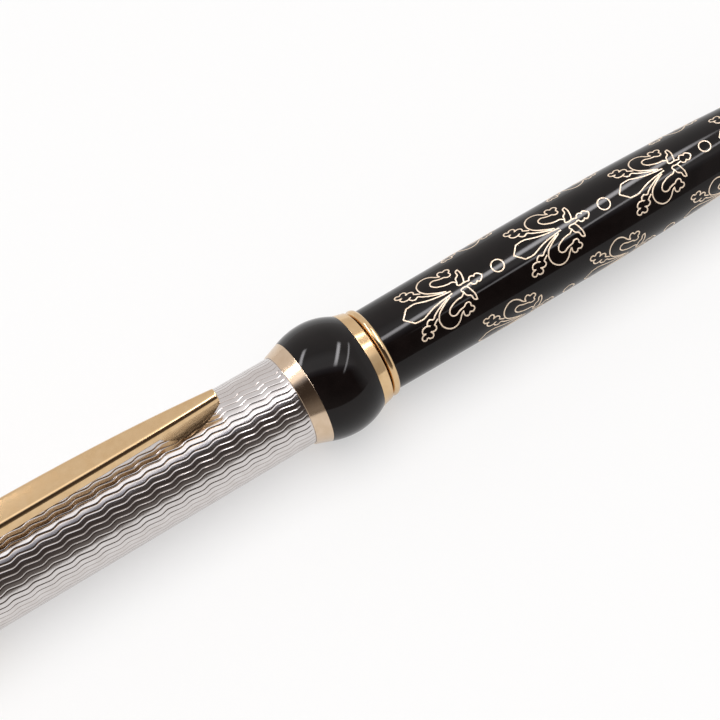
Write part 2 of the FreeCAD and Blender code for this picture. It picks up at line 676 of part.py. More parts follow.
def make_clip_collar():
    """The collar under the clip: a ring with a web, two cheeks for the pin, a spring pocket."""
    insert_hole = "cap_insert_radius + glue_gap"
    web_front = "clip_collar_length - clip_collar_web"
    body = turned("clip_collar", "tube_back", [
        ("0", insert_hole), ("0", "clip_collar_radius"), ("clip_collar_length", "clip_collar_radius"),
        ("clip_collar_length", "stud_hole"), (web_front, "stud_hole"), (web_front, insert_hole),
    ], "cap")
    pin_place = "(clip_collar_length - clip_pin_setback)"
    foot = "clip_collar_radius - clip_collar_proud"
    extruded("Pad", body, "cheeks", "XZ_Plane", "pin_length", [
        (f"{pin_place} - cheek_foot_reach", foot), Arc("cheek_flare_arc", "right"),
        (f"{pin_place} - cheek_reach", "clip_pin_radial"),
        shallow_arc("2 * cheek_reach", "cheek_rise", "left"),
        (f"{pin_place} + cheek_reach", "clip_pin_radial"), Arc("cheek_flare_arc", "right"),
        (f"{pin_place} + cheek_foot_reach", foot),
    ])
    slot_side = "clip_collar_length + cut_runout"
    extruded("Pocket", body, "slot", "XZ_Plane", "clip_lug_width + 2 * cheek_play", [
        ("0", "clip_collar_radius"), ("0", "clip_root_top"),
        (slot_side, "clip_root_top"), (slot_side, "clip_collar_radius"),
    ])
    extruded("Pocket", body, "pin_hole", "XZ_Plane", "2 * pin_length",
             (pin_place, "clip_pin_radial", "clip_pin_radius + glue_gap"))
    spring_room = "(clip_spring_radius + clip_spring_wire + clip_spring_play)"
    extruded("Pocket", body, "spring_pocket", "XY_Plane", "2 * (clip_collar_radius - clip_spring_bottom)",
             (f"{pin_place} + clip_spring_setback", "0", spring_room), "clip_collar_radius")


def under_clip(x):
    """The height of the clip's arched underside, at a distance from its root's end."""
    return (f"clip_end_under + clip_rise * (clip_length - {x}) / clip_length"
            f" + {x} * (clip_length - {x}) / (2 * clip_arch)")


def make_clip():
    """The clip: an arched tapering bar with a rounded skid under its free end, and a lug."""
    body = new_body("clip", "clip_collar_back")
    root = "clip_thickness / 2"
    skid_start = "(clip_length - skid_length)"
    extruded("Pad", body, "bar", "XZ_Plane", "clip_root_width", [
        (root, under_clip(root)), shallow_arc("clip_thickness", "clip_root_crown", "left"),
        (root, f"{under_clip(root)} + clip_thickness"), Arc("clip_arch", "left"),
        ("clip_length", "clip_end_top"), ("clip_length", "clip_end_under"),
        Arc("skid_arc", "left"), (skid_start, "skid_top"), Arc("clip_arch - clip_thickness", "right"),
    ])
    past_end = "clip_length + cut_runout"
    side_cut = extruded("Pocket", body, "side_taper", "XY_Plane", "2 * (clip_root_top + cut_runout)", [
        ("0", "clip_root_width / 2"), ("clip_length", "clip_end_width / 2"),
        (past_end, "clip_end_width / 2"), (past_end, "clip_root_width"), ("0", "clip_root_width"),
    ])
    both_sides = body.newObject("PartDesign::Mirrored", "clip_both_sides")
    both_sides.Originals = [side_cut]
    both_sides.MirrorPlane = (origin_plane(body, "XZ_Plane"), [""])
    body.Tip = both_sides
    lug_front = "(clip_pin_setback + clip_lug_reach)"
    lug_back = "(clip_pin_setback - clip_lug_reach)"
    lug_bottom = "clip_pin_radial - clip_lug_drop"
    bury = "clip_thickness / 2"
    extruded("Pad", body, "lug", "XZ_Plane", "clip_lug_width", [
        (lug_back, lug_bottom), (lug_back, f"{under_clip(lug_back)} + {bury}"),
        (lug_front, f"{under_clip(lug_front)} + {bury}"), (lug_front, lug_bottom),
    ])
    extruded("Pocket", body, "pin_hole", "XZ_Plane", "2 * clip_lug_width",
             ("clip_pin_setback", "clip_pin_radial", "clip_pin_hole"))
    pin = doc.addObject("Part::Cylinder", "clip_pin")
    pin.setExpression("Radius", bound("clip_pin_radius"))
    pin.setExpression("Height", bound("pin_length"))
    place(pin, "clip_collar_back + clip_pin_setback", "axis_height + clip_pin_radial",
          Rotation(Vector(1, 0, 0), -90), "-pin_length / 2")
    spring("clip_spring", "clip_collar_back + clip_pin_setback - clip_spring_setback",
           "axis_height + clip_spring_bottom", "clip_spring_radius", "clip_spring_wire",
           "(clip_spring_top - clip_spring_bottom)", "clip_spring_turns", "V_Axis")


def write_parts():
    """Check every object of the document, and write each sub-part to a file of its own."""
    failed = [o.Label for o in doc.Objects if "Invalid" in o.State or "Error" in o.State]
    if failed:
        raise RuntimeError(f"objects that failed: {failed}")
    kinds = ("PartDesign::Body", "Part::Sphere", "Part::Torus", "Part::Cylinder")
    pieces = [o for o in doc.Objects if o.TypeId in kinds]
    for piece in pieces:
        if piece.Shape.isNull() or not piece.Shape.isValid() or len(piece.Shape.Solids) != 1:
            raise RuntimeError(f"{piece.Label} isn't one valid solid")
    os.makedirs("parts", exist_ok=True)
    for piece in pieces:
        piece.Shape.exportStep(f"parts/{piece.Label}.step")
    print(f"{len(pieces)} pieces, {value('cap_length + barrel_length'):.2f} mm long")


make_refill()
make_section()
make_barrel()
make_cap()
make_clip_collar()
make_clip()
doc.recompute()
write_parts()
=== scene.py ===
import json
import math

import bmesh
import bpy
from mathutils import Matrix, Vector


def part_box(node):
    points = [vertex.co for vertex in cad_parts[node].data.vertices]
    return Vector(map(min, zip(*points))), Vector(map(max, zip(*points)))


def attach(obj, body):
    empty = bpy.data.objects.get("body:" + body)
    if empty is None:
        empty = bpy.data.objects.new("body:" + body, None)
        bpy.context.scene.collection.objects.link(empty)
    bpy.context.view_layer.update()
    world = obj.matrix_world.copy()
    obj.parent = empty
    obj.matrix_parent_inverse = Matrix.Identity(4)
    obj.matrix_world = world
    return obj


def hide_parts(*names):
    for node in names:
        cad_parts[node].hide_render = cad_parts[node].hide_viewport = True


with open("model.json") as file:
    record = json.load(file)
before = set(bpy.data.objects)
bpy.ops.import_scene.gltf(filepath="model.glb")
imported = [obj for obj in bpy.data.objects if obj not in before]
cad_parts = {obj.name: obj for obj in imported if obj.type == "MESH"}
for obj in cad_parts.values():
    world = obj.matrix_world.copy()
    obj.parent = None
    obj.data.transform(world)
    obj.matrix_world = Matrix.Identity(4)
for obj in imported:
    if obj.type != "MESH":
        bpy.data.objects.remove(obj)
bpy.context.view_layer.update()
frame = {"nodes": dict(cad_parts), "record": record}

# The pen lies along X with its cap towards -X. A piece is drawn in millimetres, by its
# distance from the lip plane, where cap and barrel meet, and by its radius.
MM = 0.001
LIP_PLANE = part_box("lip_band")[1].x
AXIS_HEIGHT = (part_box("bulb_collar")[0].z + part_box("bulb_collar")[1].z) / 2
PEN_PLACE = Matrix.Translation((LIP_PLANE, 0, AXIS_HEIGHT)) @ Matrix.Diagonal((MM, MM, MM, 1))
BODY_OF_NODE = {
    node: body
    for body, nodes in frame["record"]["behaviour"]["bodies"].items()
    for node in nodes
}

TUBE_RADIUS = 5.80
ENGRAVED_FROM = -54.6
ENGRAVED_TO = -10.75
ENGRAVED_LINES = 50
COLUMNS_PER_LINE = 8
WAVE_LENGTH = 2.77
WAVE_SWING = 0.125
GROOVE_DEPTH = 0.045
SWELL_PLACE = 30.0
SWELL_RADIUS = 5.57
MOUTH = (1.30, 5.37)
TAIL = (72.0, 3.70)

# a rounded corner is held by a point on each side, this many roundings away
HOLD = 1.35
# a rounding from this size on gets more steps
WIDE_ROUNDING = 0.3


# ---------------------------------------------------------------- drawing and turning


class Outline:
    """A line of edges in the plane of (along, radius), drawn corner by corner."""

    def __init__(self, along, radius, rounding=0.0):
        self.mesh = bmesh.new()
        self.start = self.end = self.mesh.verts.new((along, radius, 0))
        self.rounded = [(self.start, rounding)] if rounding else []

    def to(self, along, radius, rounding=0.0, steps=1):
        begin, goal = self.end.co.copy(), Vector((along, radius, 0))
        for step in range(1, steps + 1):
            corner = self.mesh.verts.new(begin.lerp(goal, step / steps))
            self.mesh.edges.new((self.end, corner))
            self.end = corner
        if rounding:
            self.rounded.append((corner, rounding))
        return self

    def arc(self, along, radius, rise, steps=12):
        """Onwards over an arc whose middle stands this far to the left of its chord."""
        begin = self.end.co.copy()
        goal = Vector((along, radius, 0))
        chord = goal - begin
        turn = 4 * math.atan(2 * rise / chord.length)
        arc_radius = chord.length / (2 * math.sin(turn / 2))
        left = Vector((-chord.y, chord.x, 0)).normalized()
        centre = (begin + goal) / 2 + left * (rise - arc_radius)
        swept = bmesh.ops.spin(self.mesh, geom=[self.end], cent=centre, axis=(0, 0, 1),
                               angle=-turn, steps=steps)
        self.end = next(v for v in swept["geom_last"] if isinstance(v, bmesh.types.BMVert))
        self.end.co = goal
        return self

    def close(self):
        self.mesh.edges.new((self.end, self.start))
        return self

    def round_corners(self):
        """Give each rounded corner a small arc, held by a close corner on each side."""
        for corner, rounding in self.rounded:
            for edge in list(corner.link_edges):
                share = HOLD * rounding / edge.calc_length()
                if share < 0.9:
                    bmesh.utils.edge_split(edge, corner, share)
        for corner, rounding in self.rounded:
            bmesh.ops.bevel(self.mesh, geom=[corner], offset=rounding, affect="VERTICES",
                            offset_type="OFFSET", segments=3 if rounding < WIDE_ROUNDING else 8,
                            profile=0.5, material=-1)


def turned(outline, steps=144):
    """The outline turned all the way round the pen's axis."""
    outline.round_corners()
    mesh = outline.mesh
    bmesh.ops.spin(mesh, geom=mesh.verts[:] + mesh.edges[:], cent=(0, 0, 0), axis=(1, 0, 0),
                   angle=math.tau, steps=steps, use_merge=True)
    bmesh.ops.remove_doubles(mesh, verts=mesh.verts, dist=0.0002)
    bmesh.ops.recalc_face_normals(mesh, faces=mesh.faces)
    return mesh


def pen_piece(name, mesh, body, material, replaces=(), place=PEN_PLACE):
    """A finished piece from a mesh in millimetres, riding on its body."""
    bmesh.ops.transform(mesh, matrix=place, verts=mesh.verts)
    data = bpy.data.meshes.new(name)
    mesh.to_mesh(data)
    mesh.free()
    data.shade_smooth()
    data.set_sharp_from_angle(angle=math.radians(40))
    data.materials.append(material)
    piece = bpy.data.objects.new(name, data)
    bpy.context.scene.collection.objects.link(piece)
    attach(piece, body)
    if replaces:
        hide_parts(*replaces)
    return piece


def turned_piece(name, node, outline, material, steps=144):
    """A turned piece that stands for one CAD node."""
    return pen_piece(name, turned(outline, steps), BODY_OF_NODE[node], material, (node,))


# ---------------------------------------------------------------- finishes


class Finish:
    """A material whose detail comes from noise laid along the pen."""

    def __init__(self, name, colour, roughness, metallic=0.0):
        self.material = bpy.data.materials.new(name)
        self.material.use_nodes = True
        self.nodes = self.material.node_tree.nodes
        self.links = self.material.node_tree.links
        self.shader = self.nodes["Principled BSDF"]
        self.shader.inputs["Metallic"].default_value = metallic
        self.shader.inputs["Base Color"].default_value = (*colour, 1)
        self.shader.inputs["Roughness"].default_value = roughness
        self.colour = colour
        self.roughness = roughness

    def node(self, kind, **settings):
        made = self.nodes.new(kind)
        for setting, content in settings.items():
            setattr(made, setting, content)
        return made

    def noise(self, scale, stretch=(1, 1, 1), detail=3.0):
        """Noise about the pen's axis: scale in marks per metre, stretched by axis."""
        place = self.node("ShaderNodeTexCoord")
        mapping = self.node("ShaderNodeMapping")
        mapping.inputs["Location"].default_value = (-LIP_PLANE, 0, -AXIS_HEIGHT)
        mapping.inputs["Scale"].default_value = stretch
        texture = self.node("ShaderNodeTexNoise")
        texture.inputs["Scale"].default_value = scale
        texture.inputs["Detail"].default_value = detail
        self.links.new(place.outputs["Object"], mapping.inputs["Vector"])
        self.links.new(mapping.outputs["Vector"], texture.inputs["Vector"])
        return texture.outputs["Fac"]

    def between(self, share, low, high, source=(0.3, 0.7)):
        """A number that follows a share from low to high."""
        spread = self.node("ShaderNodeMapRange")
        spread.inputs["From Min"].default_value = source[0]
        spread.inputs["From Max"].default_value = source[1]
        spread.inputs["To Min"].default_value = low
        spread.inputs["To Max"].default_value = high
        self.links.new(share, spread.inputs["Value"])
        return spread.outputs["Result"]

    def mix(self, share, one, other):
        """A colour that follows a share from one to the other; each a colour or a socket."""
        blend = self.node("ShaderNodeMix", data_type="RGBA")
        for socket, content in (("A", one), ("B", other)):
            target = next(s for s in blend.inputs if s.name == socket and s.type == "RGBA")
            if isinstance(content, tuple):
                target.default_value = (*content, 1)
            else:
                self.links.new(content, target)
        self.links.new(share, blend.inputs["Factor"])
        return next(s for s in blend.outputs if s.type == "RGBA")

    def vary(self, scale, other_colour, rougher, stretch=(1, 1, 1)):
        """Drift the colour to another and the roughness upwards by this much."""
        drift = self.noise(scale, stretch)
        share = self.between(drift, 0, 1)
        self.links.new(self.mix(share, self.colour, other_colour), self.shader.inputs["Base Color"])
        spread = self.between(drift, self.roughness, self.roughness + rougher)
        self.links.new(spread, self.shader.inputs["Roughness"])
        return self

    def relief(self, height, distance):
        """Raise the surface by a height of 0 to 1, where 1 is this many metres."""
        bump = self.node("ShaderNodeBump")
        bump.inputs["Distance"].default_value = distance
        self.links.new(height, bump.inputs["Height"])
        self.links.new(bump.outputs["Normal"], self.shader.inputs["Normal"])
        return self


def plated_gold(name, colour, other, roughness=0.10, metallic=1.0):
    """Polished plating with a faint drift of colour and fine marks across the pen."""
    finish = Finish(name, colour, roughness, metallic).vary(900, other, 0.07)
    return finish.relief(finish.noise(14000, (0.25, 1, 1)), 1.2e-6).material


def engraved_silver():
    """Bright rolled silver, with painted shade that darkens the grooves."""
    finish = Finish("engraved_silver", (0.68, 0.65, 0.64), 0.12, 1.0)
    drift = finish.noise(700)
    bright = finish.mix(finish.between(drift, 0, 1), finish.colour, (0.62, 0.585, 0.57))
    groove = finish.node("ShaderNodeAttribute", attribute_name="groove").outputs["Fac"]
    # painted shade: the grooves' colour is pulled down to a dark grey-brown, standing in for the
    # shade down in them
    groove_shade = finish.mix(groove, bright, (0.36, 0.31, 0.28))
    finish.links.new(groove_shade, finish.shader.inputs["Base Color"])
    finish.links.new(finish.between(drift, 0.10, 0.19), finish.shader.inputs["Roughness"])
    return finish.relief(finish.noise(16000, (0.3, 1, 1)), 1.5e-6).material


def black_resin():
    """Deep polished black, a very little brown."""
    finish = Finish("black_resin", (0.0042, 0.0028, 0.0026), 0.045)
    finish.vary(500, (0.0075, 0.005, 0.0046), 0.03)
    finish.shader.inputs["IOR"].default_value = 1.3
    return finish.relief(finish.noise(2500), 0.6e-6).material


def turned_metal(name, colour, other, roughness):
    """Fine turning marks that run round the piece."""
    finish = Finish(name, colour, roughness, 1.0).vary(1500, other, 0.1, (1, 0.2, 0.2))
    return finish.relief(finish.noise(9000, (1, 0.04, 0.04)), 3e-6).material


def moulded(name, colour, other, roughness, grain=6000, relief=4e-6):
    """Moulded plastic or rubber with a fine grain."""
    finish = Finish(name, colour, roughness).vary(800, other, 0.12)
    return finish.relief(finish.noise(grain), relief).material


def ink_fibre():
    finish = Finish("ink_fibre", (0.03, 0.04, 0.12), 0.85)
    finish.vary(2500, (0.05, 0.07, 0.2), 0.1, (0.1, 1, 1))
    return finish.relief(finish.noise(12000, (0.05, 1, 1)), 3e-5).material


GOLD = plated_gold("gold_plate", (0.72, 0.51, 0.29), (0.66, 0.45, 0.24))
PALE_GOLD = plated_gold("pale_gold_plate", (0.68, 0.53, 0.39), (0.62, 0.47, 0.33))
INLAY = plated_gold("gold_inlay", (0.95, 0.78, 0.62), (0.86, 0.68, 0.50), 0.4, 0.35)
SILVER = engraved_silver()
RESIN = black_resin()
BRASS = turned_metal("turned_brass", (0.72, 0.52, 0.25), (0.62, 0.42, 0.18), 0.25)
STEEL = turned_metal("turned_steel", (0.60, 0.60, 0.61), (0.50, 0.50, 0.52), 0.28)
SPRING = turned_metal("spring_steel", (0.55, 0.56, 0.58), (0.42, 0.42, 0.44), 0.2)
TIP = turned_metal("tip_steel", (0.66, 0.65, 0.63), (0.56, 0.55, 0.53), 0.2)
CARBIDE = turned_metal("tip_ball_carbide", (0.42, 0.42, 0.44), (0.32, 0.32, 0.34), 0.15)
NYLON = moulded("black_nylon", (0.02, 0.02, 0.022), (0.03, 0.03, 0.03), 0.42)
LINER = moulded("liner_plastic", (0.10, 0.10, 0.11), (0.14, 0.14, 0.15), 0.35)
RUBBER = moulded("black_rubber", (0.012, 0.012, 0.012), (0.022, 0.022, 0.022), 0.62)
SHELL = moulded("refill_shell", (0.62, 0.63, 0.64), (0.55, 0.56, 0.57), 0.25)
NOSE = moulded("refill_nose_plastic", (0.05, 0.07, 0.22), (0.07, 0.09, 0.27), 0.3)
PLUG = moulded("refill_plug_plastic", (0.05, 0.07, 0.22), (0.07, 0.09, 0.27), 0.35)
INK = ink_fibre()


# ---------------------------------------------------------------- cap


def engrave(mesh):
    """Swing the tube's outer columns into waves and sink one in each line as a groove."""
    # the groove layer marks the sunk columns, where the silver's painted shade goes
    depth = mesh.verts.layers.float.new("groove")
    column_angle = math.tau / (ENGRAVED_LINES * COLUMNS_PER_LINE)
    for vert in mesh.verts:
        along, across, up = vert.co
        radius = math.hypot(across, up)
        if radius < TUBE_RADIUS - 0.01 or not ENGRAVED_FROM < along < ENGRAVED_TO:
            continue
        angle = math.atan2(across, up)
        if round(angle / column_angle) % COLUMNS_PER_LINE == 0:
            vert[depth] = 1.0
            radius -= GROOVE_DEPTH
        wave = math.tau * along / WAVE_LENGTH
        angle += (math.sin(wave) + 0.18 * math.sin(2 * wave)) * WAVE_SWING / TUBE_RADIUS
        vert.co = (along, radius * math.sin(angle), radius * math.cos(angle))


def make_cap_tube():
    outline = Outline(-54.6, 5.35).to(-54.6, TUBE_RADIUS)
    outline.to(ENGRAVED_TO, TUBE_RADIUS, steps=190).to(-4.05, TUBE_RADIUS).to(-4.05, 5.35).close()
    mesh = turned(outline, ENGRAVED_LINES * COLUMNS_PER_LINE)
    engrave(mesh)
    pen_piece("engraved_cap_tube", mesh, "cap", SILVER, ("cap_tube",))


def make_cap_rings():
    cone = Outline(-8.85, 5.82).to(-10.77, 5.82).to(-10.77, 6.00, 0.05)
    cone.to(-8.85, 6.70, 0.06).close()
    turned_piece("cone_band", "cone_ring", cone, PALE_GOLD)
    lip = Outline(0, 4.85, 0.1).to(-0.90, 4.85).to(-0.90, 5.15).to(-1.60, 5.15).to(-1.60, 5.35)
    lip.to(-4.00, 5.35).to(-4.00, 5.80).to(-1.45, 5.80).to(-1.45, 6.30, 0.06)
    lip.to(0, 5.95, 0.08).close()
    turned_piece("lip_ring", "lip_band", lip, GOLD)
    ring = Outline(-59.6, 1.42).to(-59.6, 6.20, 0.04).arc(-58.8, 6.20, 0.25).to(-58.8, 1.42).close()
    turned_piece("end_ring", "finial_ring", ring, GOLD)


def tangent_rise(run, fall):
    """How far an arc stands above its chord, if it starts along its run and then falls off."""
    radius = (run**2 + fall**2) / (2 * fall)
    return radius - math.sqrt(radius**2 - (run**2 + fall**2) / 4)


def make_bulb():
    bulb = Outline(-1.45, 5.82).to(-8.85, 5.82).to(-8.85, 6.70)
    bulb.arc(-5.40, 7.36, tangent_rise(3.45, 0.66), 14)
    bulb.arc(-1.45, 6.30, tangent_rise(3.95, 1.06), 16).close()
    turned_piece("bulb", "bulb_collar", bulb, RESIN, 192)


def make_cap_end():
    dome = Outline(-63.2, 0.82).to(-63.2, 2.00).arc(-60.4, 6.20, tangent_rise(4.2, 2.8), 20)
    dome.to(-59.6, 6.20, 0.06).to(-59.6, 1.42).to(-61.9, 1.42).to(-61.9, 0.82).close()
    turned_piece("cap_end_dome", "cap_dome", dome, RESIN)
    jewel = Outline(-64.0, 0).arc(-63.44, 2.00, 0.15, 10).to(-63.2, 2.00, 0.05)
    jewel.to(-63.2, 0.80).to(-62.45, 0.80).to(-62.45, 0)
    turned_piece("cap_end_button", "cap_jewel", jewel, GOLD, 96)


CLIP_LENGTH = 39.6
CLIP_BACK = -58.8
CLIP_START = 0.8
# at its root and where the skid starts
CLIP_THICKNESSES = (2.0, 1.35)
CLIP_END_TOP = 9.70
CLIP_LIFT = 0.4
CLIP_ARCH = 0.377
# at its root and at its free end
CLIP_HALF_WIDTHS = (1.90, 0.84)
SKID_LENGTH = 7.9
SKID_BOTTOM = 5.86
NOTCH = 0.16
# the cross-section as it is first drawn: its half width, its depth, the rounding of its
# shoulders and how far its middle stands over them
SECTION_HALF = 2.0
SECTION_DEPTH = 1.3
SHOULDER = 0.7
CROWN = 0.05
# its points down to this height follow the clip's top, and the rest its underside
UPPER_POINTS = -1.0
# steps along the bar and along the skid, and the run in which the notch between them drops
BAR_STEPS = 28
SKID_STEPS = 26
NOTCH_RUN = 0.03
# steps of inset and rise that round the clip's two ends
END_ROUNDING = ((0.02, 0.06), (0.03, 0.04), (0.05, 0.02))
LUG_SIZE = (2.2, 2.4, 2.1)
LUG_PLACE = 2.1
LUG_FOOT = 6.72


def clip_top(run):
    """The height of the clip's arched top over the pen's axis, from its back end."""
    share = run / CLIP_LENGTH
    return CLIP_END_TOP + CLIP_LIFT * (1 - share) + 4 * CLIP_ARCH * share * (1 - share)


def clip_underside(run):
    """The height of the clip's underside, with the skid that hangs below its free end."""
    thick, thin = CLIP_THICKNESSES
    skid_start = CLIP_LENGTH - SKID_LENGTH
    if run <= skid_start:
        return clip_top(run) - thick + (thick - thin) * run / skid_start
    skid_top = clip_top(skid_start) - thin - NOTCH
    end_under = CLIP_END_TOP - thin
    share = (run - skid_start) / SKID_LENGTH
    depth = (skid_top + end_under) / 2 - SKID_BOTTOM
    return skid_top + (end_under - skid_top) * share - 4 * depth * share * (1 - share)


def fit_clip_section(vert, run):
    """Bring a point of the cross-section to the clip's width and height at this place."""
    across, height = vert.co.x, vert.co.y
    wide, narrow = CLIP_HALF_WIDTHS
    half = wide + (narrow - wide) * (run / CLIP_LENGTH) ** 3
    flat = SECTION_HALF - SHOULDER
    if abs(across) < flat - 0.01:
        across *= (half - SHOULDER) / flat
    else:
        across -= math.copysign(SECTION_HALF - half, across)
    if height > UPPER_POINTS:
        height += clip_top(run)
    else:
        height += clip_underside(run) + SECTION_DEPTH
    vert.co = (run, across, height)


def make_clip():
    """The clip bar: its cross-section drawn out from its root to its free end."""
    section = Outline(-SECTION_HALF, -SECTION_DEPTH, 0.08).to(-SECTION_HALF, -CROWN, SHOULDER)
    section.to(-0.9, -0.4 * CROWN).to(0, 0).to(0.9, -0.4 * CROWN)
    section.to(SECTION_HALF, -CROWN, SHOULDER).to(SECTION_HALF, -SECTION_DEPTH, 0.08).close()
    section.round_corners()
    mesh = section.mesh
    skid_start = CLIP_LENGTH - SKID_LENGTH
    bar = skid_start - CLIP_START
    runs = [CLIP_START + bar * n / BAR_STEPS for n in range(BAR_STEPS + 1)]
    end_rise = sum(depth for _, depth in END_ROUNDING)
    skid = SKID_LENGTH - end_rise - NOTCH_RUN
    runs += [skid_start + NOTCH_RUN + skid * n / SKID_STEPS for n in range(SKID_STEPS + 1)]
    ring = mesh.edges[:]
    rings = [mesh.verts[:]]
    for _ in runs[1:]:
        drawn = bmesh.ops.extrude_edge_only(mesh, edges=ring)["geom"]
        ring = [e for e in drawn if isinstance(e, bmesh.types.BMEdge)]
        rings.append([v for v in drawn if isinstance(v, bmesh.types.BMVert)])
        fresh = set(rings[-1])
        ring = [e for e in ring if set(e.verts) <= fresh]
    for verts, run in zip(rings, runs):
        for vert in verts:
            fit_clip_section(vert, run)
    root = [e for e in mesh.edges if set(e.verts) <= set(rings[0])]
    for end in (root, ring):
        bmesh.ops.edgeloop_fill(mesh, edges=end)
    bmesh.ops.recalc_face_normals(mesh, faces=mesh.faces)
    caps = [f for f in mesh.faces if len(f.verts) > 8]
    for thickness, depth in END_ROUNDING:
        bmesh.ops.inset_individual(mesh, faces=caps, thickness=thickness, depth=depth)
    return mesh


def make_clip_piece():
    """The clip bar and the lug under its root, which its pin goes through."""
    mesh = make_clip()
    lug = bmesh.new()
    bmesh.ops.create_cube(lug, size=1)
    bmesh.ops.scale(lug, vec=LUG_SIZE, verts=lug.verts)
    lug_height = LUG_FOOT + LUG_SIZE[2] / 2
    bmesh.ops.translate(lug, vec=(LUG_PLACE, 0, lug_height), verts=lug.verts)
    bmesh.ops.bevel(lug, geom=lug.edges[:], offset=0.15, affect="EDGES", offset_type="OFFSET",
                    segments=3, profile=0.5, material=-1)
    flat = bpy.data.meshes.new("clip_lug")
    lug.to_mesh(flat)
    lug.free()
    mesh.from_mesh(flat)
    bpy.data.meshes.remove(flat)
    place = PEN_PLACE @ Matrix.Translation((CLIP_BACK, 0, 0))
    pen_piece("clip_bar", mesh, "clip", GOLD, ("clip",), place)


# ---------------------------------------------------------------- barrel


def barrel_radius(along):
    """The radius of the barrel's two tangent arcs, at a distance from the lip plane."""
    end, end_radius = MOUTH if along < SWELL_PLACE else TAIL
    fall = SWELL_RADIUS - end_radius
    arc_radius = ((end - SWELL_PLACE) ** 2 + fall**2) / (2 * fall)
    return SWELL_RADIUS - arc_radius + math.sqrt(arc_radius**2 - (along - SWELL_PLACE) ** 2)


def make_barrel():
    barrel = Outline(MOUTH[0], 4.77).to(*MOUTH)
    barrel.arc(SWELL_PLACE, SWELL_RADIUS, tangent_rise(28.7, 0.2), 24)
    barrel.arc(*TAIL, tangent_rise(42.0, 1.87), 48)
    barrel.to(72.0, 2.60).to(69.0, 2.60).to(69.0, 3.45).to(9.49, 3.45).to(9.49, 4.77).close()
    turned_piece("barrel", "barrel_tube", barrel, RESIN, 192)
    ring = Outline(0.25, 4.77).to(0.25, 5.37, 0.03).arc(1.30, 5.37, 0.48, 14).to(1.30, 4.77).close()
    turned_piece("barrel_mouth_ring", "barrel_ring", ring, GOLD)
    ring = Outline(72.0, 1.42).to(72.0, 3.70, 0.03).arc(73.0, 3.70, 0.35, 12).to(73.0, 1.42).close()
    turned_piece("barrel_tail_ring", "tail_ring", ring, GOLD)
    cap = Outline(73.0, 1.42).to(73.0, 3.75, 0.06).to(76.6, 3.75)
    cap.arc(79.0, 1.50, tangent_rise(2.25, 2.4), 18)
    cap.to(79.0, 0.82).to(78.2, 0.82).to(78.2, 1.42).close()
    turned_piece("barrel_tail_cap", "tail_cap", cap, RESIN)
    button = Outline(80.0, 0).arc(79.3, 1.50, -0.17, 10).to(79.0, 1.50, 0.05)
    button.to(79.0, 0.80).to(78.25, 0.80).to(78.25, 0)
    turned_piece("barrel_tail_button", "tail_button", button, GOLD, 96)


# One half of the inlaid flower: (along, across) points of lines that run smoothly through
# them. A third entry marks a sharp corner.
FLOWER_HALF = [
    # petal: from its tip over an angular shoulder down to its waist
    [(0.0, 0.0, 1), (0.75, 0.78), (1.05, 1.08, 1), (2.0, 1.15), (2.35, 1.12, 1), (4.2, 0.52),
     (6.9, 0.16)],
    # leaf: out from the waist to three rounded lobes, and back
    [(6.0, 0.42), (4.8, 0.85), (3.6, 1.45), (3.2, 1.75), (2.75, 1.55, 1), (2.35, 1.75), (2.2, 2.12),
     (2.5, 2.25, 1), (1.9, 2.1), (1.35, 2.3), (1.25, 2.72), (1.55, 2.85, 1), (1.05, 2.95),
     (0.85, 3.3), (1.2, 3.6), (1.6, 3.42), (1.75, 3.6, 1), (2.2, 3.62), (2.4, 3.25),
     (2.2, 2.95, 1), (2.75, 3.05), (3.1, 2.75), (3.0, 2.4, 1), (3.3, 2.2), (3.7, 1.95)],
    # scroll: a long loop that leans out and curls back to a small trefoil
    [(6.4, 0.40), (5.0, 1.05), (4.0, 1.8), (3.75, 2.7), (4.2, 3.55), (5.1, 3.95), (6.0, 3.65),
     (6.6, 3.0), (7.0, 2.72, 1), (6.95, 3.25), (7.35, 3.5), (7.7, 3.2, 1), (8.15, 3.3),
     (8.45, 2.95), (8.15, 2.6, 1), (8.2, 2.2), (7.75, 2.05), (7.35, 2.3, 1),
     (6.6, 2.45), (5.8, 2.7), (5.35, 2.35), (5.5, 1.85), (6.2, 1.4), (7.1, 1.15), (7.7, 1.1),
     (8.15, 0.75)],
    # hook: a small curl beside the waist
    [(8.15, 0.75), (8.35, 1.3), (8.75, 1.55), (8.9, 2.15), (9.25, 2.3, 1), (9.3, 1.6),
     (9.15, 1.0), (9.0, 0.55), (8.85, 0.3)],
    # crossbar and foot knob
    [(8.15, 0.75), (8.0, 0.45), (8.2, 0.28), (8.85, 0.3), (9.55, 0.18, 1), (9.75, 0.5),
     (10.2, 0.52), (10.35, 0.35, 1), (10.6, 0.55), (10.95, 0.42), (11.3, 0.0, 1)],
]
FLOWER_PITCH = 16.0
FLOWER_FIRST = 4.8
FLOWER_LENGTH = 11.3
ROW_TURN = math.radians(17)
DOT_PLACE = 13.6
DOT_RADIUS = 0.82
LINE_RADIUS = 0.085
# a gold line is pressed to this share of its height, with its middle this far over the resin
LINE_FLATNESS = 0.2
LINE_LIFT = 0.004
FLOWER_ROWS = 4


